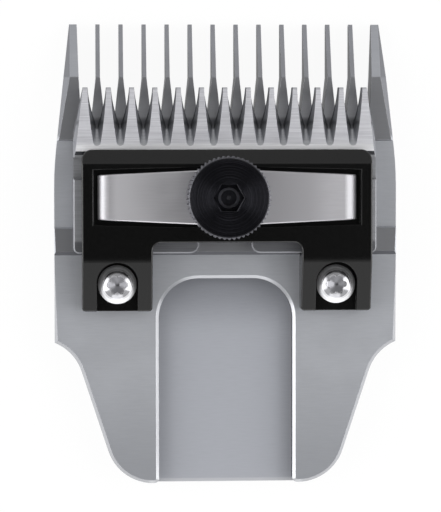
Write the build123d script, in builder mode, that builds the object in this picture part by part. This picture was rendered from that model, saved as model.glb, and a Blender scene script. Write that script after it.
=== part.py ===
from build123d import *
import math
import os

# A detachable clipper shear head: comb plate, sliding cutter, sprung yoke and tension knob.
# X runs across the teeth, Y towards the tooth tips and Z up from the flat underside.
# The origin is the middle of the underside, and all sizes are in millimetres.

# Comb plate, overall and across the teeth
comb_length = 67.2  # tooth tips to heel
comb_width = 50.0  # across the straight sides
comb_tip_width = 45.5  # across the outer corners of the end teeth
flank_length = 21.1  # tooth tips to where the tapered flanks meet the straight sides
flank_radius = 50.0  # easing between flank and side
tooth_pitch = 3.38
slim_tooth_count = 12  # between the two wide end teeth
slim_tooth_width = 0.62
end_tooth_flare = 0.29  # how far the end teeth widen inwards from tip to land
gap_length = 13.2  # tooth tips to the root of a gap
gap_root_width = 1.6
gap_root_radius = 0.6

# Comb plate, along its section
land_height = 4.4  # underside to the lapped lands
tip_height = 0.9  # tooth thickness at the very tip
toe_radius = 0.5  # under the tooth tips
tip_slope_length = 7.8
front_land_length = 9.1
relief_length = 12.9
relief_depth = 0.25
relief_run = 0.2  # plan length of the relief's sloped ends
rear_land_length = 3.4
tang_step_run = 0.5  # plan length of the slope from the rear land to the tang
land_bevel_inset = 0.9  # outer bevel at the front of the land
land_bevel_flare = 9.9  # degrees between the land's outer edge and Y
land_bevel_tilt = 45.0  # degrees between bevel and land

# Comb plate, tang
shoulder_setback = 12.8  # tang front to the shoulders
neck_width = 42.2  # where the shoulder's hollow ends
neck_setback = 4.2  # shoulders to the neck
heel_width = 31.3  # between the heel's corners before rounding
heel_flat = 0.15  # straight heel edge between the rounded corner and the channel's lip
heel_lip_radius = 0.7  # where the channel opens at the heel
channel_width = 19.6
channel_depth = 2.2
channel_radius = 5.8
channel_setback = 3.45  # tang front to the channel's closed end
edge_chamfer = 0.45
side_chamfer_setback = 1.2  # tang front to where the sides' chamfers start to widen

# Cutter
cutter_width = 44.1
cutter_length = 24.06
cutter_height = 2.2
cutter_setback = 1.5  # front of the land to the cutter's tips
cutter_park = -0.18  # where the cutter stands at rest, to the side of the middle
cutter_tip_top = 0.62  # tooth width at the tip, top face
cutter_tip_base = 0.72  # tooth width at the tip, cutting face
tip_facet_length = 0.3
tip_facet_drop = 0.35
gullet_length_top = 8.45  # cutter's tips to the end of a gullet, top face
gullet_length_base = 5.4  # the same on the cutting face
gullet_end_top = 1.12  # gullet width where its end starts to round, top face
gullet_end_base = 0.36
gullet_bow_top = 0.14  # how far a gullet's sides bow out of straight
gullet_bow_base = 0.19
end_flank_top = 12.5  # cutter's tips to the end of the outer teeth's tapered sides, top face
end_flank_base = 6.5  # the same on the cutting face
front_plate_length = 9.25
step_drop = 0.35  # slope behind the front plate
step_run = 0.55
ledge_run = 0.3
groove_width = 3.1
groove_depth = 1.0
cutter_corner_radius = 0.8
cutter_edge_chamfer = 0.2
notch_width = 7.6  # takes the drive pin and clears the stud
notch_root_margin = 0.6  # stud to the notch's root
notch_mouth_radius = 1.3
notch_root_radius = 0.8

# Yoke
knob_reach = 8.5  # tang front to the knob's axis
yoke_width = 42.0
yoke_front_reach = 6.9  # knob's axis to the front rail's edge
yoke_rear_reach = 6.55  # knob's axis to the rear bar's edge
deck_clearance = 0.3  # between the deck and the cutter's top
yoke_corner_radius = 1.5
crotch_radius = 1.2
yoke_rim_radius = 0.25
front_facet_run = 1.95
front_facet_drop = 1.5
front_ridge_radius = 0.8  # between the front facet and the deck
foot_gap = 21.6  # between the two feet
foot_clearance = 0.1  # behind the tang's front edge
foot_overhang = 3.9  # screw axis to the rear of the feet
foot_corner_radius = 0.5
foot_slope_start = 0.5  # behind the tang's front edge
foot_slope_drop = 2.2
foot_ridge_radius = 3.0  # between the foot tops and the deck
guide_rib_thickness = 1.6
guide_clearance = 0.15  # before and behind the rib
pocket_length = 38.6  # pocket that the spring lies in
pocket_end_margin = 0.77  # beside the spring's ends, front and rear
pocket_mid_margin = 0.35  # beside the spring's middle
pocket_floor_thickness = 0.6
pocket_chamfer = 0.15  # at the pocket's ends

# Leaf spring
leaf_thickness = 0.6
leaf_mid_width = 8.2
leaf_end_width = 6.5
leaf_bend_reach = 17.05  # knob's axis to the start of the turned-down ends
leaf_bow_angle = 5.0  # degrees, slope of the bow where the ends start
leaf_end_angle = 40.0  # degrees, slope at the very ends
leaf_bend_radius = 3.0
leaf_edge_radius = 0.2  # along the strip's rolled edges
contact_gap = 0.02  # between pieces that press on each other and also move

# Knob and stud
knob_diameter = 12.0
knob_top_diameter = 11.0
knob_height = 4.5
knob_bevel_height = 0.5
knob_clearance = 0.35  # between the knob and the deck
knurl_count = 54
knurl_depth = 0.32
socket_across_flats = 3.85
socket_depth = 2.0
socket_chamfer = 0.15
stud_diameter = 3.0
stud_hole_clearance = 0.2  # radial, in the yoke and the spring
stud_foot_setback = 0.6  # underside to the stud's foot
stud_end_chamfer = 0.35
stud_dimple_radius = 0.3  # centre mark in the stud's end
stud_dimple_depth = 0.25
stud_end_setback = 0.1  # socket's floor to the stud's end
thread_clearance = 0.04  # radial

# Clamp screws
screw_spacing = 31.8
screw_setback = 4.15  # tang front to the screws' axes
screw_diameter = 3.0
screw_head_diameter = 5.6
screw_head_height = 2.3
screw_head_rim = 1.0  # straight side of the head below its dome
screw_end_setback = 0.6  # underside to the screws' ends
screw_seat_height = 1.7  # tang to the seat under the head
screw_hole_diameter = 3.4
head_slot_width = 6.0
head_slot_lead = 0.28  # screw axis to the middle of the slot's rounded end
lobe_count = 6
lobe_circle_diameter = 2.2
lobe_diameter = 0.86
lobe_depth = 0.5  # straight sides of the recess at its lobes
lobe_point_depth = 0.6  # cone at the bottom of the recess

# Places worked out from the sizes above
tip_y = comb_length / 2
heel_y = -comb_length / 2
flank_end_y = tip_y - flank_length
land_front_y = tip_y - tip_slope_length
relief_front_y = land_front_y - front_land_length
relief_rear_y = relief_front_y - relief_length
rear_land_end_y = relief_rear_y - rear_land_length
tang_front_y = rear_land_end_y - tang_step_run
tang_height = land_height - relief_depth
shoulder_y = tang_front_y - shoulder_setback
neck_y = shoulder_y - neck_setback
channel_front_y = tang_front_y - channel_setback
heel_turn = math.atan2(neck_y - heel_y, (neck_width - heel_width) / 2)
heel_corner = (heel_width - channel_width) / 2 - heel_lip_radius - heel_flat
heel_radius = heel_corner / math.tan(heel_turn / 2)
cutter_tip_y = land_front_y - cutter_setback
cutter_rear_y = cutter_tip_y - cutter_length
cutter_top = land_height + cutter_height
step_front_y = cutter_tip_y - front_plate_length
ledge_front_y = step_front_y - step_run
groove_front_y = ledge_front_y - ledge_run
groove_rear_y = groove_front_y - groove_width
groove_floor = cutter_top - groove_depth
gullet_count = slim_tooth_count
knob_y = tang_front_y + knob_reach
yoke_front_y = knob_y + yoke_front_reach
yoke_rear_y = knob_y - yoke_rear_reach
notch_root_y = knob_y + stud_diameter / 2 + notch_root_margin
deck_bottom = cutter_top + deck_clearance
pocket_floor = deck_bottom + pocket_floor_thickness
leaf_foot = pocket_floor + contact_gap
bow_turn = math.radians(leaf_bow_angle)
end_turn = math.radians(leaf_end_angle)
leaf_droop = leaf_bend_reach * math.tan(bow_turn / 2)
leaf_curl = leaf_bend_radius * (math.cos(bow_turn) - math.cos(end_turn))
leaf_top = leaf_foot + leaf_thickness * math.cos(end_turn) + leaf_curl + leaf_droop
knob_bottom = leaf_top + contact_gap
knob_top = knob_bottom + knob_height
knob_axis = Axis((0, knob_y, 0), (0, 0, 1))
socket_floor = knob_top - socket_depth
deck_top = knob_bottom - knob_clearance
rib_front_y = groove_front_y - guide_clearance
rib_rear_y = rib_front_y - guide_rib_thickness
rib_bottom = groove_floor + contact_gap
foot_front_y = tang_front_y - foot_clearance
screw_y = tang_front_y - screw_setback
foot_rear_y = screw_y - foot_overhang
screw_x = screw_spacing / 2
screw_places = [(-screw_x, screw_y), (screw_x, screw_y)]
screw_seat = tang_height + screw_seat_height
over = 1.0  # how far cutting shapes run past the faces they open
upward = 0.1  # least upward part of a top face's normal
sideways = 0.1  # most sideways part of a lengthwise edge's direction


def outward_cut(corner, along, down_and_out):
    """Plane through a corner that holds both directions and faces up and out."""
    normal = along.cross(down_and_out)
    if normal.Z < 0:
        normal = -normal
    return Plane(origin=corner, x_dir=along, z_dir=normal)


# Plan of the gaps between the comb's teeth
with BuildSketch() as comb_gaps:
    mouth = (tooth_pitch - slim_tooth_width) / 2
    for gap in range(slim_tooth_count + 1):
        middle = tooth_pitch * (gap - slim_tooth_count / 2)
        left_flare = end_tooth_flare if gap == 0 else 0
        right_flare = end_tooth_flare if gap == slim_tooth_count else 0
        with BuildLine():
            Polyline(
                (middle - mouth, tip_y + over),
                (middle - mouth + left_flare, land_front_y),
                (middle - gap_root_width / 2, tip_y - gap_length),
                (middle + gap_root_width / 2, tip_y - gap_length),
                (middle + mouth - right_flare, land_front_y),
                (middle + mouth, tip_y + over),
                close=True,
            )
        make_face()
    fillet(comb_gaps.vertices().group_by(Axis.Y)[0], radius=gap_root_radius)

# Comb plate: its plan outline is cut to its long section, then the gaps and the channel are milled
with BuildPart() as comb_plate:
    with BuildSketch() as comb_outline:
        with BuildLine():
            Polyline(
                (0, tip_y),
                (comb_tip_width / 2, tip_y),
                (comb_width / 2, flank_end_y),
                (comb_width / 2, shoulder_y),
            )
            TangentArc(
                (neck_width / 2, neck_y),
                (comb_width / 2, shoulder_y),
                tangent=(neck_width / 2 - heel_width / 2, neck_y - heel_y),
            )
            Polyline((neck_width / 2, neck_y), (heel_width / 2, heel_y), (0, heel_y))
            mirror(about=Plane.YZ)
        make_face()
        fillet(comb_outline.vertices().group_by(Axis.Y)[0], radius=heel_radius)
        fillet(comb_outline.vertices().group_by(Axis.Y)[-2], radius=flank_radius)
    extrude(amount=land_height)
    with BuildSketch(Plane.YZ):
        with BuildLine():
            Line((heel_y, 0), (tip_y - toe_radius, 0))
            TangentArc((tip_y - toe_radius, 0), (tip_y, toe_radius), tangent=(1, 0))
            Polyline(
                (tip_y, toe_radius),
                (tip_y, tip_height),
                (land_front_y, land_height),
                (relief_front_y, land_height),
                (relief_front_y - relief_run, tang_height),
                (relief_rear_y + relief_run, tang_height),
                (relief_rear_y, land_height),
                (rear_land_end_y, land_height),
                (tang_front_y, tang_height),
                (heel_y, tang_height),
                (heel_y, 0),
            )
        make_face()
    extrude(amount=comb_width, both=True, mode=Mode.INTERSECT)

    # Bevels along the outer edges of the front land and of the end teeth's slopes
    flank_taper = (comb_width - comb_tip_width) / 2 / flank_length
    land_edge_x = comb_tip_width / 2 + flank_taper * tip_slope_length - land_bevel_inset
    flare = math.radians(land_bevel_flare)
    tilt = math.radians(land_bevel_tilt)
    for side in (-1, 1):
        corner = Vector(side * land_edge_x, land_front_y, land_height)
        down_and_out = Vector(side * math.cos(tilt), 0, -math.sin(tilt))
        along_land = Vector(side * math.sin(flare), -math.cos(flare), 0)
        along_slope = Vector(0, tip_slope_length, tip_height - land_height)
        split(bisect_by=outward_cut(corner, along_land, down_and_out), keep=Keep.BOTTOM)
        split(bisect_by=outward_cut(corner, along_slope, down_and_out), keep=Keep.BOTTOM)

    # Gaps between the teeth
    with BuildSketch():
        add(comb_gaps.sketch)
    extrude(amount=land_height, mode=Mode.SUBTRACT)

    # Channel for the clipper's nose, open at the heel
    with BuildSketch(Plane.XY.offset(tang_height)) as channel:
        with BuildLine():
            Polyline(
                (-channel_width / 2, heel_y - over),
                (-channel_width / 2, channel_front_y),
                (channel_width / 2, channel_front_y),
                (channel_width / 2, heel_y - over),
                close=True,
            )
        make_face()
        fillet(channel.vertices().group_by(Axis.Y)[-1], radius=channel_radius)
    extrude(amount=-channel_depth, mode=Mode.SUBTRACT)
    lips = comb_plate.edges().filter_by(Axis.Z).group_by(Axis.Y)[0].sort_by(Axis.X)[1:-1]
    fillet(lips, radius=heel_lip_radius)

    # Chamfers round the channel and the heel, and along the sides, where they widen to the shoulders
    tang_face = comb_plate.faces().filter_by(Axis.Z).group_by(Axis.Z)[-2].sort_by(Axis.Y)[0]
    tang_edges = tang_face.edges().sort_by(Axis.Y)[:-1]
    side_reach = comb_width / 2 - edge_chamfer
    chamfer(tang_edges.filter_by_position(Axis.X, -side_reach, side_reach), length=edge_chamfer)
    side_chamfer_y = tang_front_y - side_chamfer_setback
    for side in (-1, 1):
        corner = Vector(side * comb_width / 2, side_chamfer_y, tang_height)
        along_side = Vector(-side * edge_chamfer, shoulder_y - side_chamfer_y, 0)
        split(bisect_by=outward_cut(corner, along_side, Vector(side, 0, -1)), keep=Keep.BOTTOM)

    # Tapped holes for the clamp screws and the tension stud
    with Locations(*screw_places):
        Hole(radius=screw_diameter / 2 + thread_clearance)
    with Locations((0, knob_y)):
        Hole(radius=stud_diameter / 2 + thread_clearance)

# Gullet between two cutter teeth: a narrow pointed cut at the cutting face that widens to the top
with BuildPart() as gullet:
    for height, tip_width, end_width, length, bow in (
        (land_height, cutter_tip_base, gullet_end_base, gullet_length_base, gullet_bow_base),
        (cutter_top, cutter_tip_top, gullet_end_top, gullet_length_top, gullet_bow_top),
    ):
        mouth = (tooth_pitch - tip_width) / 2
        end = end_width / 2
        end_y = cutter_tip_y - length
        with BuildSketch(Plane.XY.offset(height)):
            with BuildLine():
                right = Line((mouth, cutter_tip_y), (end, end_y + end), mode=Mode.PRIVATE)
                bowed = right @ 0.5 + Vector(bow, 0)
                ThreePointArc((mouth, cutter_tip_y), bowed, (end, end_y + end))
                ThreePointArc((end, end_y + end), (0, end_y), (-end, end_y + end))
                ThreePointArc((-end, end_y + end), (-bowed.X, bowed.Y), (-mouth, cutter_tip_y))
                Line((-mouth, cutter_tip_y), (mouth, cutter_tip_y))
            make_face()
    loft(ruled=True)

# What is cut away beside the two end teeth: a taper that is wider at the top
with BuildPart() as end_cuts:
    for height, tip_width, length in (
        (land_height, cutter_tip_base, end_flank_base),
        (cutter_top, cutter_tip_top, end_flank_top),
    ):
        with BuildSketch(Plane.XY.offset(height)):
            with BuildLine():
                Polyline(
                    ((tooth_pitch * gullet_count + tip_width) / 2, cutter_tip_y),
                    (cutter_width / 2, cutter_tip_y - length),
                    (cutter_width / 2, cutter_tip_y),
                    close=True,
                )
            make_face()
    loft(ruled=True)
    mirror(about=Plane.YZ)

# Cutter
cutter_plane = Plane((cutter_park, 0, land_height))
with BuildPart() as cutter_blade:
    with BuildSketch(cutter_plane) as cutter_outline:
        with BuildLine():
            Polyline(
                (0, cutter_tip_y),
                (cutter_width / 2, cutter_tip_y),
                (cutter_width / 2, cutter_rear_y),
                (notch_width / 2, cutter_rear_y),
                (notch_width / 2, notch_root_y),
                (0, notch_root_y),
            )
            mirror(about=Plane.YZ)
        make_face()
        rear_corners = cutter_outline.vertices().group_by(Axis.Y)[0].sort_by(Axis.X)
        fillet([rear_corners[0], rear_corners[-1]], radius=cutter_corner_radius)
        rear_corners = cutter_outline.vertices().group_by(Axis.Y)[0].sort_by(Axis.X)
        fillet(rear_corners[1:-1], radius=notch_mouth_radius)
        notch_corners = cutter_outline.vertices().filter_by_position(
            Axis.Y, notch_root_y - notch_root_radius, cutter_tip_y - over
        )
        fillet(notch_corners, radius=notch_root_radius)
    extrude(amount=cutter_height)
    with BuildSketch(Plane.YZ.offset(cutter_park)):
        with BuildLine():
            Polyline(
                (cutter_rear_y, land_height),
                (cutter_tip_y, land_height),
                (cutter_tip_y, cutter_top - tip_facet_drop),
                (cutter_tip_y - tip_facet_length, cutter_top),
                (step_front_y, cutter_top),
                (ledge_front_y, cutter_top - step_drop),
                (groove_front_y, cutter_top - step_drop),
                (groove_front_y, groove_floor),
                (groove_rear_y, groove_floor),
                (groove_rear_y, cutter_top),
                (cutter_rear_y, cutter_top),
                close=True,
            )
        make_face()
    extrude(amount=cutter_width, both=True, mode=Mode.INTERSECT)
    rear_top = cutter_blade.faces().filter_by(Axis.Z).group_by(Axis.Z)[-1].sort_by(Axis.Y)[0]
    chamfer(rear_top.edges(), length=cutter_edge_chamfer)

    # Gullets, and the outer sides of the end teeth
    with Locations((cutter_park, 0)):
        with GridLocations(tooth_pitch, 0, gullet_count, 1):
            add(gullet.part, mode=Mode.SUBTRACT)
        add(end_cuts.part, mode=Mode.SUBTRACT)

# Plan of the pocket that the spring lies in, following the spring's taper
with BuildSketch() as spring_pocket:
    with BuildLine():
        Polyline(
            (0, knob_y + leaf_mid_width / 2 + pocket_mid_margin),
            (pocket_length / 2, knob_y + leaf_end_width / 2 + pocket_end_margin),
            (pocket_length / 2, knob_y - leaf_end_width / 2 - pocket_end_margin),
            (0, knob_y - leaf_mid_width / 2 - pocket_mid_margin),
        )
        mirror(about=Plane.YZ)
    make_face()

# Yoke: feet clamped to the tang, reaching forward over the cutter to a rib in the cutter's groove
with BuildPart() as spring_bridge:
    with BuildSketch(Plane.XY.offset(tang_height)) as yoke_outline:
        with BuildLine():
            Polyline(
                (0, yoke_front_y),
                (yoke_width / 2, yoke_front_y),
                (yoke_width / 2, foot_rear_y),
                (foot_gap / 2, foot_rear_y),
                (foot_gap / 2, yoke_rear_y),
                (0, yoke_rear_y),
            )
            mirror(about=Plane.YZ)
        make_face()
        fillet(yoke_outline.vertices().group_by(Axis.Y)[-1], radius=yoke_corner_radius)
        fillet(yoke_outline.vertices().group_by(Axis.Y)[0], radius=foot_corner_radius)
        crotch = yoke_outline.vertices().filter_by_position(
            Axis.Y, yoke_rear_y - crotch_radius, yoke_rear_y + crotch_radius
        )
        fillet(crotch, radius=crotch_radius)
    extrude(amount=deck_top - tang_height)
    with BuildSketch(Plane.YZ):
        with BuildLine():
            Polyline(
                (foot_front_y, tang_height - over),
                (foot_front_y, deck_bottom),
                (rib_rear_y, deck_bottom),
                (rib_rear_y, rib_bottom),
                (rib_front_y, rib_bottom),
                (rib_front_y, deck_bottom),
                (yoke_front_y + over, deck_bottom),
                (yoke_front_y + over, tang_height - over),
                close=True,
            )
        make_face()
    extrude(amount=yoke_width, both=True, mode=Mode.SUBTRACT)

    # Sloped front facet and sloped foot tops
    front_corner = Vector(0, yoke_front_y, deck_top - front_facet_drop)
    front_slope = Vector(0, -front_facet_run, front_facet_drop)
    split(bisect_by=outward_cut(front_corner, Vector(1, 0, 0), front_slope), keep=Keep.BOTTOM)
    foot_slope_y = tang_front_y - foot_slope_start
    foot_corner = Vector(0, foot_slope_y, deck_top)
    foot_slope = Vector(0, foot_rear_y - foot_slope_y, -foot_slope_drop)
    split(bisect_by=outward_cut(foot_corner, Vector(1, 0, 0), foot_slope), keep=Keep.BOTTOM)

    # Rounded ridges between the deck and its slopes, and an eased rim round the top
    ridges = spring_bridge.edges().filter_by(Axis.X).group_by(Axis.Z)[-1].sort_by(Axis.Y)
    fillet(ridges[-1], radius=front_ridge_radius)
    ridges = spring_bridge.edges().filter_by(Axis.X).group_by(Axis.Z)[-1].sort_by(Axis.Y)
    fillet(ridges[:2], radius=foot_ridge_radius)
    top_faces = spring_bridge.faces().filter_by(lambda face: face.normal_at().Z > upward)
    top_edges = top_faces.edges()
    rim = [edge for edge in top_edges if sum(edge.is_same(other) for other in top_edges) == 1]
    fillet(rim, radius=yoke_rim_radius)

    # Spring pocket, and the hole in its floor that the stud comes up through
    with BuildSketch(Plane.XY.offset(deck_top)):
        add(spring_pocket.sketch)
    extrude(amount=pocket_floor - deck_top, mode=Mode.SUBTRACT)
    deck_edges = spring_bridge.edges().filter_by(Axis.Y).group_by(Axis.Z)[-1]
    pocket_reach = pocket_length / 2 + pocket_chamfer
    chamfer(deck_edges.filter_by_position(Axis.X, -pocket_reach, pocket_reach), length=pocket_chamfer)
    with Locations((0, knob_y, pocket_floor)):
        Hole(radius=stud_diameter / 2 + stud_hole_clearance)

    # Screw holes, and slots for the heads that are open to the rear
    with Locations(*screw_places):
        Hole(radius=screw_hole_diameter / 2)
    with BuildSketch(Plane.XY.offset(screw_seat)):
        with Locations(*[(x, y + head_slot_lead) for x, y in screw_places]):
            Circle(head_slot_width / 2)
            Rectangle(
                head_slot_width,
                head_slot_lead + foot_overhang + over,
                align=(Align.CENTER, Align.MAX),
            )
    extrude(amount=deck_top - screw_seat, mode=Mode.SUBTRACT)

# Leaf spring: bowed along X, tapered in plan, with its ends turned down onto the pocket's floor
with BuildPart() as leaf_spring:
    with BuildSketch(Plane.XZ.offset(-knob_y)):
        with BuildLine():
            bow = TangentArc((0, leaf_top), (leaf_bend_reach, leaf_top - leaf_droop), tangent=(1, 0))
            JernArc(bow @ 1, bow % 1, leaf_bend_radius, leaf_bow_angle - leaf_end_angle)
            offset(amount=leaf_thickness, side=Side.RIGHT)
        make_face()
        mirror(about=Plane.YZ)
    extrude(amount=leaf_mid_width, both=True)
    with BuildSketch():
        with BuildLine():
            Polyline(
                (0, knob_y + leaf_mid_width / 2),
                (pocket_length / 2, knob_y + leaf_end_width / 2),
                (pocket_length / 2, knob_y - leaf_end_width / 2),
                (0, knob_y - leaf_mid_width / 2),
            )
            mirror(about=Plane.YZ)
        make_face()
    extrude(amount=knob_top, mode=Mode.INTERSECT)
    strip_edges = leaf_spring.edges().filter_by(lambda edge: edge.length > leaf_thickness)
    strip_sides = strip_edges.filter_by(lambda edge: abs((edge % 0.5).Y) < sideways)
    fillet(strip_sides, radius=leaf_edge_radius)
    with Locations((0, knob_y, leaf_top)):
        Hole(radius=stud_diameter / 2 + stud_hole_clearance)

# Tension knob: turned, knurled with straight grooves, with a hexagon socket and a bore for the stud
with BuildPart() as tension_knob:
    with BuildSketch(Plane.XZ.offset(-knob_y)):
        with BuildLine():
            Polyline(
                (0, knob_bottom),
                (knob_diameter / 2, knob_bottom),
                (knob_diameter / 2, knob_top - knob_bevel_height),
                (knob_top_diameter / 2, knob_top),
                (0, knob_top),
                close=True,
            )
        make_face()
    revolve(axis=knob_axis)
    with BuildSketch(Plane.XY.offset(knob_bottom)):
        with Locations((0, knob_y)):
            with PolarLocations(knob_diameter / 2, knurl_count):
                Rectangle(knurl_depth * math.sqrt(2), knurl_depth * math.sqrt(2), rotation=45)
    extrude(amount=knob_height, mode=Mode.SUBTRACT)
    with BuildSketch(Plane.XY.offset(socket_floor)):
        with Locations((0, knob_y)):
            RegularPolygon(socket_across_flats / 2, side_count=6, major_radius=False)
    extrude(amount=socket_depth, mode=Mode.SUBTRACT)
    socket_mouth = tension_knob.faces().sort_by(Axis.Z)[-1].inner_wires()[0]
    chamfer(socket_mouth.edges(), length=socket_chamfer)
    with Locations((0, knob_y, knob_bottom)):
        Hole(radius=stud_diameter / 2 + thread_clearance)

# Tension stud: it stands in the comb plate and its end shows in the knob's socket
with BuildPart() as tension_stud:
    stud_end = socket_floor - stud_end_setback
    with BuildSketch(Plane.XZ.offset(-knob_y)):
        with BuildLine():
            Polyline(
                (0, stud_foot_setback),
                (stud_diameter / 2, stud_foot_setback),
                (stud_diameter / 2, stud_end - stud_end_chamfer),
                (stud_diameter / 2 - stud_end_chamfer, stud_end),
                (stud_dimple_radius, stud_end),
                (0, stud_end - stud_dimple_depth),
                close=True,
            )
        make_face()
    revolve(axis=knob_axis)

# Six-lobe recess of a clamp screw, down from the top of the head to a conical bottom
with BuildPart() as drive_recess:
    with BuildSketch():
        Circle(lobe_circle_diameter / 2)
        with PolarLocations(lobe_circle_diameter / 2, lobe_count):
            Circle(lobe_diameter / 2)
    extrude(amount=-(lobe_depth + lobe_point_depth))
    with BuildSketch(Plane.XZ):
        with BuildLine():
            lobe_reach = (lobe_circle_diameter + lobe_diameter) / 2
            Polyline(
                (0, 0),
                (lobe_reach, 0),
                (lobe_reach, -lobe_depth),
                (0, -lobe_depth - lobe_point_depth),
                close=True,
            )
        make_face()
    revolve(axis=Axis.Z, mode=Mode.INTERSECT)

# One clamp screw at the origin of its seat, then the pair
with BuildPart() as clamp_screw:
    with BuildSketch(Plane.XZ):
        with BuildLine():
            shank_end = screw_end_setback - screw_seat
            Polyline(
                (0, screw_head_height),
                (0, shank_end),
                (screw_diameter / 2, shank_end),
                (screw_diameter / 2, 0),
                (screw_head_diameter / 2, 0),
                (screw_head_diameter / 2, screw_head_rim),
            )
            TangentArc(
                (0, screw_head_height),
                (screw_head_diameter / 2, screw_head_rim),
                tangent=(1, 0),
            )
        make_face()
    revolve(axis=Axis.Z)
    with Locations((0, 0, screw_head_height)):
        add(drive_recess.part, mode=Mode.SUBTRACT)

with BuildPart() as clamp_screws:
    with Locations(*[(x, y, screw_seat) for x, y in screw_places]):
        add(clamp_screw.part)

pieces = {
    "comb_plate": comb_plate,
    "cutter_blade": cutter_blade,
    "spring_bridge": spring_bridge,
    "leaf_spring": leaf_spring,
    "tension_knob": tension_knob,
    "tension_stud": tension_stud,
    "clamp_screws": clamp_screws,
}
os.makedirs("parts", exist_ok=True)
for name, piece in pieces.items():
    piece.part.label = name
    export_step(piece.part, f"parts/{name}.step")
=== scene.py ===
"""Looks for a detachable clipper shear head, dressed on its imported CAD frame.

Everything is in metres in the CAD frame: X across the teeth, Y towards the tooth tips and Z up
from the flat underside. Sizes that read better in millimetres are written so and turned by MM.
"""

import logging
import math
from dataclasses import dataclass, field
from enum import Enum

import bpy
from mathutils import Matrix, Vector


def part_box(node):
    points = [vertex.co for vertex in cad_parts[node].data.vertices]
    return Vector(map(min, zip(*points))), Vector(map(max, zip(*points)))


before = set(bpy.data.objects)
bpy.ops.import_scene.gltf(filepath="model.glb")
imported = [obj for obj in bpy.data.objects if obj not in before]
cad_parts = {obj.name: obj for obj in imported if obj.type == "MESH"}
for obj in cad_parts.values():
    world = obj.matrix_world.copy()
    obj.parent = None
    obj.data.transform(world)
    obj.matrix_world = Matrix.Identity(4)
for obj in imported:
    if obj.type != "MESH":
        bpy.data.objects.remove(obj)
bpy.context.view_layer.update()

MM = 0.001
SOFT = 1.0 * MM  # width over which a zone fades in slowly
CRISP = 0.1 * MM  # width over which a zone starts at an edge
QUARTER_TURN = 0.25
NOISE_SPAN = {"From Min": 0.3, "From Max": 0.7}  # where most values of a noise lie
log = logging.getLogger("clipper_head")

Socket = bpy.types.NodeSocket
Tree = bpy.types.NodeTree
Colour = tuple[float, float, float, float]
Point = tuple[float, float, float]


def linear(hex_colour: str) -> Colour:
    """Turns an sRGB hex colour into the linear colour that the shaders take.

    Args:
        hex_colour: six hex digits after a hash sign.

    Returns:
        Red, green, blue and an alpha of 1, all linear.
    """
    parts = [int(hex_colour[i : i + 2], 16) / 255 for i in (1, 3, 5)]
    red, green, blue = (p / 12.92 if p <= 0.04045 else ((p + 0.055) / 1.055) ** 2.4 for p in parts)
    return red, green, blue, 1.0


def add(tree: Tree, kind: str, links: dict | None = None, **settings) -> bpy.types.Node:
    """Adds a node with its settings and links.

    The inputs of a Mix node go by number, because several share a name: 0 is its share, 2 and 3
    are numbers, and 6 and 7 are colours. Its output is 0 for numbers and 2 for colours.

    Args:
        tree: node tree that takes the node.
        kind: the node's type without its ShaderNode prefix.
        links: for each input, by name or number, a plain value or the socket that feeds it.
        settings: the node's own properties.

    Returns:
        The new node.
    """
    node = tree.nodes.new("ShaderNode" + kind)
    for key, value in settings.items():
        setattr(node, key, value)
    for key, value in (links or {}).items():
        if isinstance(value, Socket):
            tree.links.new(value, node.inputs[key])
        else:
            node.inputs[key].default_value = value
    return node


class Reading(Enum):
    """What a bound goes by: where a point lies, or which way its surface faces."""

    PLACE = "TexCoord", "Object"
    FACING = "NewGeometry", "True Normal"


@dataclass(frozen=True)
class Bound:
    """One limit of a zone. The zone starts where the reading passes `outside` and is full at `inside`.

    A place is in metres. A facing is the part of the surface's normal that runs along the axis: 1
    where the surface faces that way, 0 where it stands on edge to it and -1 where it faces away.
    """

    reading: Reading
    axis: str
    outside: float
    inside: float

    @classmethod
    def place(cls, axis: str, outside: float, inside: float) -> "Bound":
        """Makes a bound that goes by where a point lies."""
        return cls(Reading.PLACE, axis, outside, inside)

    @classmethod
    def facing(cls, axis: str, outside: float, inside: float) -> "Bound":
        """Makes a bound that goes by which way a surface faces."""
        return cls(Reading.FACING, axis, outside, inside)

    def share(self, tree: Tree, most: Socket | float) -> Socket:
        """Draws how far a point is inside the bound.

        Args:
            tree: node tree of the material.
            most: share of a point that is well inside.

        Returns:
            The share, from 0 up to the most.
        """
        kind, output = self.reading.value
        along = add(tree, "SeparateXYZ", {0: add(tree, kind).outputs[output]}).outputs[self.axis]
        span = {"Value": along, "From Min": self.outside, "From Max": self.inside, "To Max": most}
        return add(tree, "MapRange", span, interpolation_type="SMOOTHSTEP").outputs[0]


LEVEL = Bound.facing("Z", 0.9, 0.95)  # up to 18 degrees off level
SLOPED = Bound.facing("Z", 0.95, 0.85)  # 32 degrees off level, or more
CHAMFERED = Bound.facing("Z", 0.85, 0.8)  # 37 degrees off level, or more
UPRIGHT = Bound.facing("Z", 0.5, 0.3)  # 73 degrees off level, or more
REARWARD = Bound.facing("Y", -0.3, -0.4)  # leans 24 degrees to the rear, or more


def about_middle(reach: float, fade: float) -> tuple[Bound, Bound]:
    """Bounds a band on both sides of the middle of a piece.

    Args:
        reach: middle to each side of the band.
        fade: width over which the band fades out past its sides.

    Returns:
        The left bound and the right bound.
    """
    return Bound.place("X", -reach - fade, -reach), Bound.place("X", reach + fade, reach)


@dataclass(frozen=True)
class Zone:
    """A part of a piece that was worked or worn differently from the rest, or that carries painted light or
    shade, inside all of its bounds.
    """

    colour: str
    roughness: float
    bounds: tuple[Bound, ...]

    def share(self, tree: Tree) -> Socket:
        """Draws how far a point is inside the zone.

        Args:
            tree: node tree of the material.

        Returns:
            The share, from 0 to 1.
        """
        share = 1.0
        for bound in self.bounds:
            share = bound.share(tree, share)
        return share


Zones = tuple[Zone, ...]


@dataclass
class Surface:
    """What one finish feeds to its shader."""

    colour: Socket
    roughness: Socket
    height: Socket
    depth: float
    extras: dict[str, float | Socket] = field(default_factory=dict)


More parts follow.
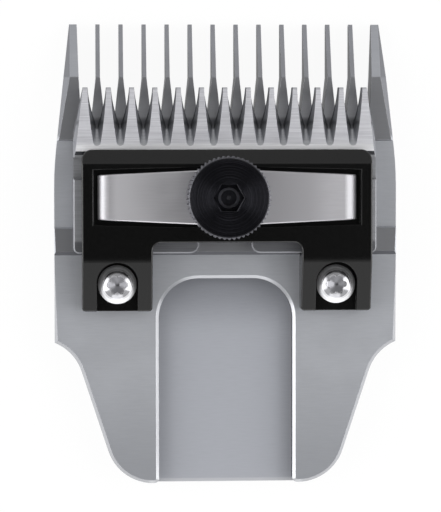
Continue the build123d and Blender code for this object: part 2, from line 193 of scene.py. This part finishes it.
@dataclass(frozen=True, kw_only=True)
class Finish:
    """What all finishes share: two close colours, a roughness and its spread, and zones laid over them."""

    name: str
    colour: str
    cloud_colour: str
    roughness: float
    spread: float
    edge_radius: float
    zone_contrast: float = 0.0
    zones: Zones = ()

    def surface(self, tree: Tree, place: Socket) -> Surface:
        """Draws the finish. Each kind of finish has its own."""
        raise NotImplementedError

    def mottle(self, tree: Tree, noise: Socket) -> Socket:
        """Mixes the finish's two colours.

        Args:
            tree: node tree of the material.
            noise: leads from the first colour to the second.

        Returns:
            The mixed colour.
        """
        share = add(tree, "MapRange", {"Value": noise, **NOISE_SPAN}).outputs[0]
        inputs = {0: share, 6: linear(self.colour), 7: linear(self.cloud_colour)}
        return add(tree, "Mix", inputs, data_type="RGBA").outputs[2]

    def sheen(self, tree: Tree, noise: Socket) -> Socket:
        """Spreads the roughness round its middle value.

        Args:
            tree: node tree of the material.
            noise: the spread follows it.

        Returns:
            The roughness.
        """
        ends = {"To Min": self.roughness - self.spread, "To Max": self.roughness + self.spread}
        return add(tree, "MapRange", {"Value": noise, **NOISE_SPAN, **ends}).outputs[0]

    def marked(self, tree: Tree, colour: str, noise: Socket) -> Socket:
        """Carries the finish's marks on into a zone.

        Args:
            tree: node tree of the material.
            colour: the zone's colour where it is lightest.
            noise: the marks follow it.

        Returns:
            The marked colour.
        """
        span = {"Value": noise, **NOISE_SPAN, "To Min": 1 - self.zone_contrast}
        light = add(tree, "MapRange", span).outputs[0]
        inputs = {0: 1.0, 6: linear(colour), 7: light}
        return add(tree, "Mix", inputs, data_type="RGBA", blend_type="MULTIPLY").outputs[2]

    def material(self) -> bpy.types.Material:
        """Builds the finish's material.

        Returns:
            The new material.
        """
        made = bpy.data.materials.new(self.name)
        made.use_nodes = True
        tree = made.node_tree
        tree.nodes.clear()
        surface = self.surface(tree, add(tree, "TexCoord").outputs["Object"])
        colour, roughness = surface.colour, surface.roughness
        for zone in self.zones:
            share = zone.share(tree)
            tint = {0: share, 6: colour, 7: self.marked(tree, zone.colour, surface.height)}
            colour = add(tree, "Mix", tint, data_type="RGBA").outputs[2]
            roughness = add(tree, "Mix", {0: share, 2: roughness, 3: zone.roughness}).outputs[0]
        eased = add(tree, "Bevel", {"Radius": self.edge_radius}).outputs[0]
        relief = {"Height": surface.height, "Distance": surface.depth, "Normal": eased}
        bump = add(tree, "Bump", relief).outputs[0]
        inputs = {"Base Color": colour, "Roughness": roughness, "Normal": bump, **surface.extras}
        shader = add(tree, "BsdfPrincipled", inputs)
        add(tree, "OutputMaterial", {"Surface": shader.outputs[0]})
        return made


@dataclass(frozen=True, kw_only=True)
class Steel(Finish):
    """Bare steel with the marks of a grinding wheel or of a rolling mill, which run along X.

    The eye sees a soft grey sheen with fine streaks the way it was worked and a little cloudiness,
    darker and sharper where it was lapped and dull where it was only milled. Its zones also carry
    painted light and painted shade.
    """

    streak_width: float  # drawn coarser than real marks, which are too fine to show
    streak_length: float
    streak_depth: float
    cloud_size: float

    def surface(self, tree: Tree, place: Socket) -> Surface:
        """Draws streaks and clouds.

        Args:
            tree: node tree of the material.
            place: where a point lies on the piece.

        Returns:
            What the shader takes.
        """
        scale = (1 / self.streak_length, 1 / self.streak_width, 1 / self.streak_width)
        stretched = add(tree, "Mapping", {"Vector": place, "Scale": scale}).outputs[0]
        streaks = add(tree, "TexNoise", {"Vector": stretched, "Scale": 1.0, "Detail": 3.0}).outputs["Fac"]
        clouds = add(tree, "TexNoise", {"Vector": place, "Scale": 1 / self.cloud_size, "Detail": 3.0})
        colour = self.mottle(tree, streaks)
        roughness = self.sheen(tree, clouds.outputs["Fac"])
        return Surface(colour, roughness, streaks, self.streak_depth, {"Metallic": 1.0})


@dataclass(frozen=True, kw_only=True)
class Moulding(Finish):
    """Glass-filled nylon, moulded black in an etched tool.

    The eye sees a deep black with a fine stipple, and a satin sheen on the faces that slope to the light.
    """

    stipple_size: float  # drawn coarser than a real tool's etching, which is too fine to show
    stipple_depth: float

    def surface(self, tree: Tree, place: Socket) -> Surface:
        """Draws the stipple.

        Args:
            tree: node tree of the material.
            place: where a point lies on the piece.

        Returns:
            What the shader takes.
        """
        stipple = add(tree, "TexNoise", {"Vector": place, "Scale": 1 / self.stipple_size, "Detail": 2.0})
        noise = stipple.outputs["Fac"]
        colour, roughness = self.mottle(tree, noise), self.sheen(tree, noise)
        return Surface(colour, roughness, noise, self.stipple_depth, {"IOR": 1.53})


@dataclass(frozen=True, kw_only=True)
class BlackOxide(Finish):
    """Turned steel with a black oxide finish.

    The eye sees near black with a faint bow-tie of light over the lathe's rings, and greyer crests.
    """

    axis: Point
    ring_spacing: float  # rings are drawn further apart and deeper than a real lathe's, so that they show
    ring_depth: float
    ring_sheen: float

    def surface(self, tree: Tree, place: Socket) -> Surface:
        """Draws uneven rings round the axis, and specks.

        Args:
            tree: node tree of the material.
            place: where a point lies on the piece.

        Returns:
            What the shader takes.
        """
        centred = add(tree, "VectorMath", {0: place, 1: self.axis}, operation="SUBTRACT").outputs[0]
        flat = add(tree, "VectorMath", {0: centred, 1: (1, 1, 0)}, operation="MULTIPLY").outputs[0]
        radius = add(tree, "VectorMath", {0: flat}, operation="LENGTH").outputs["Value"]
        grain = {"Scale": 1 / self.ring_spacing}
        turned = {"W": radius, "Detail": 2.0, **grain}
        rings = add(tree, "TexNoise", turned, noise_dimensions="1D").outputs["Fac"]
        specks = add(tree, "TexNoise", {"Vector": place, "Detail": 3.0, **grain}).outputs["Fac"]
        colour, roughness = self.mottle(tree, specks), self.sheen(tree, specks)
        sheen = {
            "Metallic": 1.0,
            "Anisotropic": self.ring_sheen,
            "Anisotropic Rotation": QUARTER_TURN,
            "Tangent": add(tree, "Tangent", direction_type="RADIAL", axis="Z").outputs[0],
        }
        return Surface(colour, roughness, rings, self.ring_depth, sheen)


@dataclass(frozen=True, kw_only=True)
class NickelPlate(Finish):
    """Bright nickel plate over a headed and rolled screw.

    The eye sees mirror-like light and dark patches, slightly wavy from the heading die.
    """

    wave_size: float
    wave_depth: float  # drawn deeper than real waves, so that they show

    def surface(self, tree: Tree, place: Socket) -> Surface:
        """Draws the waves.

        Args:
            tree: node tree of the material.
            place: where a point lies on the piece.

        Returns:
            What the shader takes.
        """
        waves = add(tree, "TexNoise", {"Vector": place, "Scale": 1 / self.wave_size, "Detail": 2.0})
        noise = waves.outputs["Fac"]
        colour, roughness = self.mottle(tree, noise), self.sheen(tree, noise)
        return Surface(colour, roughness, noise, self.wave_depth, {"Metallic": 1.0})


def dress(node: str, finish: Finish) -> None:
    """Gives a CAD node one finish all over.

    Args:
        node: the CAD node's name.
        finish: the finish that makes the material.
    """
    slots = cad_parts[node].data.materials
    slots.clear()
    slots.append(finish.material())
    log.info("%s is dressed in %s", node, finish.name)


@dataclass
class CombPlate:
    """The lower blade, which stands still."""

    node: str = "comb_plate"
    lap_depth: float = 0.05 * MM
    land_light_reach: float = 12.5 * MM  # tips to where painted light on the lapped lands starts
    land_light_fade: float = 4.0 * MM
    root_reach: float = 13.4 * MM  # tips to the line of painted shade at the roots of the cutter's gullets
    root_fade: float = 0.9 * MM
    tooth_reach: float = 17.0 * MM  # tips to the rear of the bevels beside the teeth
    tang_reach: float = 34.0 * MM  # tips to the tang
    slim_reach: float = 19.5 * MM  # middle to past the last slim tooth
    gap_reach: float = 22.0 * MM  # middle to past the last gap
    heel_shade_reach: float = 18.0 * MM  # heel to the end of the painted shade
    channel_reach: float = 10.5 * MM  # middle to past the channel's chamfer
    channel_level: float = 3.0 * MM  # underside to half way down the channel
    channel_foot: float = 1.9 * MM  # underside to just under the channel's floor
    front_shade_fade: float = 3.0 * MM  # tang's front to where the painted shade in the channel starts to fade
    front_shade_end: float = 12.0 * MM  # and to where it ends
    heel_edge: float = 0.4 * MM  # heel to the front of the floor's bright rear edge
    heel_fade: float = 0.15 * MM

    @property
    def tips(self) -> float:
        """Place of the tooth tips."""
        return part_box(self.node)[1].y

    @property
    def heel(self) -> float:
        """Place of the heel."""
        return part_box(self.node)[0].y

    @property
    def on_teeth(self) -> Bound:
        """Bound in front of which the plate is cut into teeth."""
        roots = self.tips - self.tooth_reach
        return Bound.place("Y", roots, roots + SOFT)

    @property
    def on_tang(self) -> Bound:
        """Bound behind which the plate is the tang."""
        front = self.tips - self.tang_reach
        return Bound.place("Y", front, front - SOFT)

    def land_zones(self) -> Zones:
        """Lays out the lapped lands, with painted light on them between the cutter's teeth and a line of
        painted shade at the roots of its gullets.

        Returns:
            The zones, in the order that they are laid.
        """
        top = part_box(self.node)[1].z
        land = Bound.place("Z", top - self.lap_depth, top - self.lap_depth / 2)
        slim = about_middle(self.slim_reach, CRISP)
        land_light_edge, root = self.tips - self.land_light_reach, self.tips - self.root_reach
        hidden = self.tips - self.tooth_reach - SOFT
        land_light_bound = Bound.place("Y", land_light_edge + self.land_light_fade, land_light_edge)
        before_root = Bound.place("Y", root - self.root_fade, root)
        past_root = Bound.place("Y", root, root - self.root_fade)
        off_rear_land = Bound.place("Y", hidden - SOFT, hidden)
        lapped = Zone("#a8a9ad", 0.42, (land,))
        # painted light: a lighter colour on the lands between the cutter's teeth, standing in for light
        # that the teeth shade off
        painted_land_light = Zone("#d3d4d8", 0.42, (land, land_light_bound, before_root, *slim))
        # painted shade: a darker line across the lands at the roots of the cutter's gullets
        shade_line = Zone("#828387", 0.5, (land, past_root, off_rear_land, *slim))
        return lapped, painted_land_light, shade_line

    def slope_zones(self) -> Zones:
        """Lays out painted shade towards the heel, the slopes and bevels of the teeth, and the tang's outer
        chamfers.

        Returns:
            The zones, in the order that they are laid.
        """
        near_heel = Bound.place("Y", self.heel + self.heel_shade_reach, self.heel)
        forward = Bound.facing("Y", 0.3, 0.38)
        bevelled = Bound.facing("Z", 0.88, 0.8)
        # painted shade: the tang darker towards the heel
        painted_heel_shade = Zone("#a9abb0", 0.58, (near_heel,))
        slim_slopes = Zone("#a2a3a8", 0.55, (forward, *about_middle(self.slim_reach, CRISP)))
        bevels = Zone("#7b7c80", 0.5, (bevelled, self.on_teeth))
        outer_chamfers = Zone("#bcbdc0", 0.75, (CHAMFERED, self.on_tang))
        return painted_heel_shade, slim_slopes, bevels, outer_chamfers

    def wall_zones(self) -> Zones:
        """Lays out the milled walls, with painted shade on them in the gaps, in the channel and at the
        tang's step.

        Returns:
            The zones, in the order that they are laid.
        """
        front = self.tips - self.tang_reach
        above_floor = Bound.place("Z", self.channel_foot, self.channel_foot + CRISP)
        gaps = about_middle(self.gap_reach, CRISP)
        sides = about_middle(self.channel_reach, CRISP)
        behind_lip = Bound.place("Y", front + 2 * SOFT, front + SOFT)
        at_step = Bound.place("Y", front - SOFT, front)
        at_lip = Bound.place("Y", front + SOFT, front + 2 * SOFT)
        walls = Zone("#8d8f94", 0.5, (UPRIGHT,))
        # painted shade: walls darker deep in the gaps between the teeth
        shaded_gap_walls = Zone("#55565a", 0.5, (UPRIGHT, self.on_teeth, *gaps))
        # painted shade: dark channel walls, so that the floor beside them darkens in their reflection
        shaded_channel_walls = Zone("#55565a", 0.5, (UPRIGHT, above_floor, self.on_tang, *sides))
        # painted shade: a dark band at the tang's step, where the cutter's rear edge shades it
        step = Zone("#55565a", 0.5, (REARWARD, behind_lip, at_step))
        relief_lip = Zone("#7f8084", 0.5, (REARWARD, at_lip))
        return walls, shaded_gap_walls, shaded_channel_walls, step, relief_lip

    def channel_zones(self) -> Zones:
        """Lays out the channel: bright chamfers, a dull floor, painted shade on its front part and its rear
        edge.

        Returns:
            The zones, in the order that they are laid.
        """
        front = self.tips - self.tang_reach
        edge = self.heel + self.heel_edge
        off_walls = Bound.facing("Z", 0.55, 0.6)
        sides = about_middle(self.channel_reach, SOFT)
        floor = LEVEL, Bound.place("Z", self.channel_level, self.channel_level - SOFT / 2)
        towards_front = Bound.place("Y", front - self.front_shade_end, front - self.front_shade_fade)
        rear = Bound.place("Y", edge + self.heel_fade, edge)
        chamfers = Zone("#bcbdc0", 0.3, (CHAMFERED, off_walls, self.on_tang, *sides))
        channel = Zone("#babcc2", 0.75, floor)
        # painted shade: the channel's floor darker towards its closed front end
        painted_front_shade = Zone("#9ea0a6", 0.75, (*floor, towards_front))
        heel_edge = Zone("#c8c9cd", 0.75, (*floor, rear))
        return chamfers, channel, painted_front_shade, heel_edge

    def dress(self) -> None:
        """Grinds the plate, laps its lands and leaves its walls and bevels milled."""
        steel = Steel(
            name="ground_tool_steel",
            colour="#b6b8bd",
            cloud_colour="#bbbdc2",
            roughness=0.58,
            spread=0.03,
            edge_radius=0.06 * MM,
            zone_contrast=0.04,
            zones=self.land_zones() + self.slope_zones() + self.wall_zones() + self.channel_zones(),
            streak_width=0.15 * MM,
            streak_length=2.0 * MM,
            streak_depth=0.0004 * MM,
            cloud_size=5.0 * MM,
        )
        dress(self.node, steel)


@dataclass
class Cutter:
    """The upper blade, which slides over the comb plate."""

    node: str = "cutter_blade"
    plate_reach: float = 9.3 * MM  # tips to the end of the bright front plate
    plate_edge: float = 0.05 * MM
    light_band_width: float = 0.8 * MM  # end of the front plate to the front of the strip with painted light beside the yoke
    light_band_fade: float = 0.6 * MM
    shade_line_reach: float = 5.1 * MM  # tips to the line of painted shade across the gullets
    shade_line_half: float = 0.6 * MM
    shade_height: float = 0.6 * MM  # cutting face to where the gullets come out of the shade
    rear_strip: float = 2.0 * MM  # rear edge to the yoke

    def plate_zones(self) -> Zones:
        """Lays out the hardened body behind the front plate, painted shade on its rear and painted light on
        the plate's strip next to the yoke.

        Returns:
            The zones, in the order that they are laid.
        """
        low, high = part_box(self.node)
        plate, strip = high.y - self.plate_reach, low.y + self.rear_strip
        light_band = plate + self.light_band_width
        behind_plate = Bound.place("Y", plate, plate - self.plate_edge)
        on_plate = Bound.place("Y", plate, plate + self.plate_edge)
        near_yoke = Bound.place("Y", light_band + self.light_band_fade, light_band)
        at_rear = Bound.place("Y", strip, strip - SOFT / 2)
        hardened = Zone("#b8b9bd", 0.5, (behind_plate,))
        # painted shade: the rear strip darker where the yoke shades it
        painted_shade = Zone("#828387", 0.5, (at_rear,))
        # painted light: the plate brighter next to the yoke, against the yoke's shade
        painted_plate_light = Zone("#f4f4f6", 0.68, (near_yoke, on_plate, LEVEL))
        return hardened, painted_shade, painted_plate_light

    def gullet_zones(self) -> Zones:
        """Lays out the gullets: milled troughs and walls, shaded low down, with a line of painted shade
        across their roots.

        Returns:
            The zones, in the order that they are laid.
        """
        low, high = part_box(self.node)
        shade_top, line = low.z + self.shade_height, high.y - self.shade_line_reach
        drafted = Bound.facing("Z", 0.55, 0.4)
        low_down = Bound.place("Z", shade_top, shade_top - SOFT / 4)
        front_fade = Bound.place("Y", line + self.shade_line_half, line)
        rear_fade = Bound.place("Y", line - self.shade_line_half, line)
        troughs = Zone("#c4c5c9", 0.4, (SLOPED,))
        walls = Zone("#b4b5b9", 0.5, (drafted,))
        shade = Zone("#808184", 0.6, (low_down,))
        # painted shade: a dark line across the gullets at their roots
        shade_line = Zone("#88898c", 0.6, (SLOPED, front_fade, rear_fade))
        return troughs, walls, shade, shade_line

    def rear_zones(self) -> Zones:
        """Lays out the rims behind the front plate and the dark ledge at the plate's end.

        Returns:
            The zones, in the order that they are laid.
        """
        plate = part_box(self.node)[1].y - self.plate_reach
        behind_ledge = Bound.place("Y", plate - SOFT, plate - 2 * SOFT)
        at_ledge = Bound.place("Y", plate - 2 * SOFT, plate - SOFT)
        rims = Zone("#8f9094", 0.5, (CHAMFERED, behind_ledge))
        ledge = Zone("#3c3d40", 0.5, (REARWARD, at_ledge))
        return rims, ledge

    def dress(self) -> None:
        """Grinds the cutter and leaves its gullets milled."""
        steel = Steel(
            name="ground_cutter_steel",
            colour="#cacacf",
            cloud_colour="#e2e2e6",
            roughness=0.6,
            spread=0.04,
            edge_radius=0.04 * MM,
            zone_contrast=0.2,
            zones=self.plate_zones() + self.gullet_zones() + self.rear_zones(),
            streak_width=0.17 * MM,
            streak_length=8.0 * MM,
            streak_depth=0.0015 * MM,
            cloud_size=3.0 * MM,
        )
        dress(self.node, steel)


@dataclass
class TensionYoke:
    """The yoke and its leaf spring."""

    yoke: str = "spring_bridge"
    spring: str = "leaf_spring"
    light_start: float = 8.5 * MM  # middle of the spring to where painted light on its left half starts
    light_full: float = 16.5 * MM  # and to where that would be full
    light_fade: float = 15.8 * MM  # and to where it starts to fade before the end
    light_end: float = 17.3 * MM  # and to where it has faded out
    shade_start: float = 3.0 * MM  # middle of the spring to the painted shade on its right half
    shade_fade: float = 11.0 * MM  # and to where that starts to fade
    shade_end: float = 15.5 * MM  # and to where it ends

    def yoke_nylon(self) -> Moulding:
        """Makes the yoke's finish.

        Returns:
            The finish.
        """
        return Moulding(
            name="moulded_black_nylon",
            colour="#030303",
            cloud_colour="#050505",
            roughness=0.24,
            spread=0.02,
            edge_radius=0.1 * MM,
            stipple_size=0.3 * MM,
            stipple_depth=0.0004 * MM,
        )

    def spring_strip(self) -> Steel:
        """Makes the spring's finish: painted light on the left, painted shade by the knob and dull at the
        right end.

        Returns:
            The finish.
        """
        brightening = Bound.place("X", -self.light_start, -self.light_full)
        before_end = Bound.place("X", -self.light_end, -self.light_fade)
        shade_fading = Bound.place("X", self.shade_end, self.shade_fade)
        right_half = Bound.place("X", 0.0, self.shade_start)
        past_shade = Bound.place("X", self.shade_fade, self.shade_end)
        turned_down = Bound.facing("Z", 0.985, 0.95)
        # painted light: the left half of the spring brighter than the right
        painted_left_light = Zone("#eae9ed", 0.45, (brightening, before_end))
        # painted shade: the right half of the spring darker near the knob
        painted_shade = Zone("#c3c2c6", 0.45, (shade_fading, right_half))
        dulled = Zone("#d0cfd3", 0.56, (turned_down, past_shade))
        return Steel(
            name="rolled_spring_strip",
            colour="#d0cfd3",
            cloud_colour="#d6d5d9",
            roughness=0.45,
            spread=0.02,
            edge_radius=0.03 * MM,
            zones=(painted_left_light, painted_shade, dulled),
            streak_width=0.25 * MM,
            streak_length=6.0 * MM,
            streak_depth=0.0005 * MM,
            cloud_size=5.0 * MM,
        )

    def dress(self) -> None:
        """Gives the moulding and the strip their finishes."""
        dress(self.yoke, self.yoke_nylon())
        dress(self.spring, self.spring_strip())


@dataclass
class TensionKnob:
    """The knob, and the stud that it turns on."""

    knob: str = "tension_knob"
    stud: str = "tension_stud"
    socket_chamfer: float = 0.15 * MM  # depth of the chamfer round the socket, which stays black

    @property
    def axis(self) -> Point:
        """Middle of the knob, on the line that both pieces are turned round."""
        low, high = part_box(self.knob)
        return tuple((low + high) / 2)

    def knob_steel(self) -> BlackOxide:
        """Makes the knob's finish, with the crests of the knurl worn grey.

        Returns:
            The finish.
        """
        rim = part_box(self.knob)[1].z - self.socket_chamfer
        off_level = Bound.facing("Z", 0.9, 0.8)
        below_rim = Bound.place("Z", rim, rim - CRISP / 2)
        worn = Zone("#6a6a6f", 0.45, (off_level, below_rim))
        return BlackOxide(
            name="black_oxide_turned_steel",
            colour="#1c1c1f",
            cloud_colour="#212125",
            roughness=0.42,
            spread=0.03,
            edge_radius=0.06 * MM,
            zones=(worn,),
            axis=self.axis,
            ring_spacing=0.4 * MM,
            ring_depth=0.25 * MM,
            ring_sheen=0.85,
        )

    def stud_steel(self) -> BlackOxide:
        """Makes the stud's finish, with the chamfer of its end bared by the driver.

        Returns:
            The finish.
        """
        off_end = Bound.facing("Z", 0.79, 0.715)  # takes in a little of the centre mark, which is flatter
        off_sides = Bound.facing("Z", 0.3, 0.5)
        bared = Zone("#b8b8be", 0.5, (off_end, off_sides))
        return BlackOxide(
            name="black_oxide_stud_steel",
            colour="#2c2c30",
            cloud_colour="#36363b",
            roughness=0.42,
            spread=0.05,
            edge_radius=0.06 * MM,
            zones=(bared,),
            axis=self.axis,
            ring_spacing=0.3 * MM,
            ring_depth=0.05 * MM,
            ring_sheen=0.5,
        )

    def dress(self) -> None:
        """Gives both turned pieces their finishes."""
        dress(self.knob, self.knob_steel())
        dress(self.stud, self.stud_steel())


@dataclass
class Clamp:
    """The two screws that clamp the yoke to the tang."""

    screws: str = "clamp_screws"
    recess_depth: float = 0.45 * MM  # top of a head to where only its recess shows a level face

    def dress(self) -> None:
        """Plates the screws, with rougher rims in a colour much brighter than the plate, which is painted
        highlight, and painted shade at the bottoms of their recesses.
        """
        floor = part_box(self.screws)[1].z - self.recess_depth
        rounded = Bound.facing("Z", 0.86, 0.76)
        nearly_level = Bound.facing("Z", 0.88, 0.91)
        deep = Bound.place("Z", floor + CRISP / 2, floor)
        # partly real, partly painted: the rims are rougher, and their much brighter colour is painted
        # highlight
        rims = Zone("#f2f2f4", 0.6, (rounded,))
        # painted shade: darker at the bottoms of the recesses
        shaded_recesses = Zone("#828286", 0.28, (nearly_level, deep))
        plate = NickelPlate(
            name="bright_nickel_plate",
            colour="#a8a8ab",
            cloud_colour="#9c9c9f",
            roughness=0.16,
            spread=0.04,
            edge_radius=0.06 * MM,
            zones=(rims, shaded_recesses),
            wave_size=0.8 * MM,
            wave_depth=0.015 * MM,
        )
        dress(self.screws, plate)


@dataclass(frozen=True, kw_only=True)
class Softbox:
    """A square area lamp that faces the object. Its angles are in degrees."""

    name: str
    azimuth: float
    elevation: float
    distance: float
    width: float
    radiance: float

    def build(self) -> None:
        """Hangs the lamp, with its power worked out from its radiance."""
        turn, rise = math.radians(self.azimuth), math.radians(self.elevation)
        out = Vector((math.cos(rise) * math.cos(turn), math.cos(rise) * math.sin(turn), math.sin(rise)))
        data = bpy.data.lights.new(self.name, "AREA")
        data.shape = "SQUARE"
        data.size = self.width
        data.energy = self.radiance * math.pi * self.width**2
        lamp = bpy.data.objects.new(self.name, data)
        lamp.location = out * self.distance
        lamp.rotation_euler = out.to_track_quat("Z", "Y").to_euler()
        bpy.context.scene.collection.objects.link(lamp)
        log.info("%s hangs at %.0f degrees", self.name, self.azimuth)


@dataclass
class Studio:
    """Floor, surrounding light, softboxes and camera."""

    floor_half: float = 3.0
    floor_drop: float = 0.1 * MM
    floor_colour: str = "#fcfcfc"
    floor_glow: float = 0.94
    opening: Point = (-0.09, -0.02, 0.996)  # towards the middle of the tent's dark opening
    opening_light: float = 0.05
    opening_cosine: float = 0.95
    tent_colour: str = "#ffffff"
    tent_light: float = 0.95
    tent_cosine: float = 0.80
    front_dimming: float = 0.5
    softboxes: tuple[Softbox, ...] = (
        Softbox(name="softbox_right", azimuth=0, elevation=22, distance=0.9, width=0.9, radiance=2.4),
        Softbox(name="softbox_left", azimuth=180, elevation=22, distance=0.9, width=0.9, radiance=2.2),
        Softbox(name="softbox_rear", azimuth=270, elevation=20, distance=0.9, width=0.7, radiance=1.3),
    )
    camera_place: Point = (-22.21 * MM, 16.67 * MM, 381.03 * MM)
    camera_aim: Point = (-0.53 * MM, -0.46 * MM, 0.0)
    camera_up: Point = (0.0012, 1.0, 0.0)
    camera_lens: float = 181.78
    camera_sensor: float = 36.0

    def floor_card(self) -> bpy.types.Material:
        """Makes white card that glows where it is seen and still takes the object's shadow.

        Returns:
            The new material.
        """
        made = bpy.data.materials.new("white_studio_floor")
        made.use_nodes = True
        tree = made.node_tree
        tree.nodes.clear()
        rays = add(tree, "LightPath").outputs
        seen = rays["Is Camera Ray"]
        for ray in ("Is Glossy Ray", "Is Transmission Ray"):
            seen = add(tree, "Math", {0: seen, 1: rays[ray]}, operation="MAXIMUM").outputs[0]
        share = add(tree, "Math", {0: seen, 1: self.floor_glow}, operation="MULTIPLY").outputs[0]
        card = add(tree, "BsdfDiffuse", {"Color": linear(self.floor_colour)}).outputs[0]
        glow = add(tree, "Emission", {"Strength": 1.0}).outputs[0]
        mixed = add(tree, "MixShader", {0: share, 1: card, 2: glow}).outputs[0]
        add(tree, "OutputMaterial", {"Surface": mixed})
        return made

    def build_floor(self) -> None:
        """Lays a white floor just under the object."""
        half, drop = self.floor_half, -self.floor_drop
        mesh = bpy.data.meshes.new("floor")
        corners = [(-half, -half, drop), (half, -half, drop), (half, half, drop), (-half, half, drop)]
        mesh.from_pydata(corners, [], [(0, 1, 2, 3)])
        mesh.materials.append(self.floor_card())
        floor = bpy.data.objects.new("floor", mesh)
        bpy.context.scene.collection.objects.link(floor)
        log.info("floor is laid")

    def build_tent(self) -> None:
        """Surrounds the object with a white tent, open and dark overhead where the camera stands."""
        world = bpy.data.worlds.new("light_tent")
        bpy.context.scene.world = world
        world.use_nodes = True
        tree = world.node_tree
        tree.nodes.clear()
        way = add(tree, "TexCoord").outputs["Generated"]
        overhead = add(tree, "VectorMath", {0: way, 1: self.opening}, operation="DOT_PRODUCT")
        span = {
            "Value": overhead.outputs["Value"],
            "From Min": self.tent_cosine,
            "From Max": self.opening_cosine,
            "To Min": self.tent_light,
            "To Max": self.opening_light,
        }
        tent = add(tree, "MapRange", span, interpolation_type="SMOOTHSTEP").outputs[0]
        ahead = add(tree, "SeparateXYZ", {0: way}).outputs["Y"]
        dimming = {"Value": ahead, "To Min": 1.0, "To Max": self.front_dimming}
        dimmed = add(tree, "MapRange", dimming).outputs[0]
        strength = add(tree, "Math", {0: tent, 1: dimmed}, operation="MULTIPLY").outputs[0]
        cloth = {"Color": linear(self.tent_colour), "Strength": strength}
        add(tree, "OutputWorld", {"Surface": add(tree, "Background", cloth).outputs[0]})
        log.info("tent is hung")

    def build_camera(self) -> None:
        """Stands the camera where the photograph was taken from."""
        data = bpy.data.cameras.new("camera")
        data.lens = self.camera_lens
        data.sensor_width = self.camera_sensor
        camera = bpy.data.objects.new("camera", data)
        place, aim = Vector(self.camera_place), Vector(self.camera_aim)
        back = (place - aim).normalized()
        right = Vector(self.camera_up).cross(back).normalized()
        camera.location = place
        camera.rotation_euler = Matrix((right, back.cross(right), back)).transposed().to_euler()
        bpy.context.scene.collection.objects.link(camera)
        bpy.context.scene.camera = camera
        log.info("camera stands %.0f mm up", place.z / MM)

    def build(self) -> None:
        """Builds the whole studio."""
        bpy.context.scene.view_settings.view_transform = "Standard"
        self.build_floor()
        self.build_tent()
        for softbox in self.softboxes:
            softbox.build()
        self.build_camera()


def main() -> None:
    """Dresses every sub-assembly and builds the studio."""
    logging.basicConfig(level=logging.INFO, format="%(name)s: %(message)s")
    for assembly in (CombPlate(), Cutter(), TensionYoke(), TensionKnob(), Clamp()):
        assembly.dress()
    Studio().build()


if __name__ == "__main__":
    main()
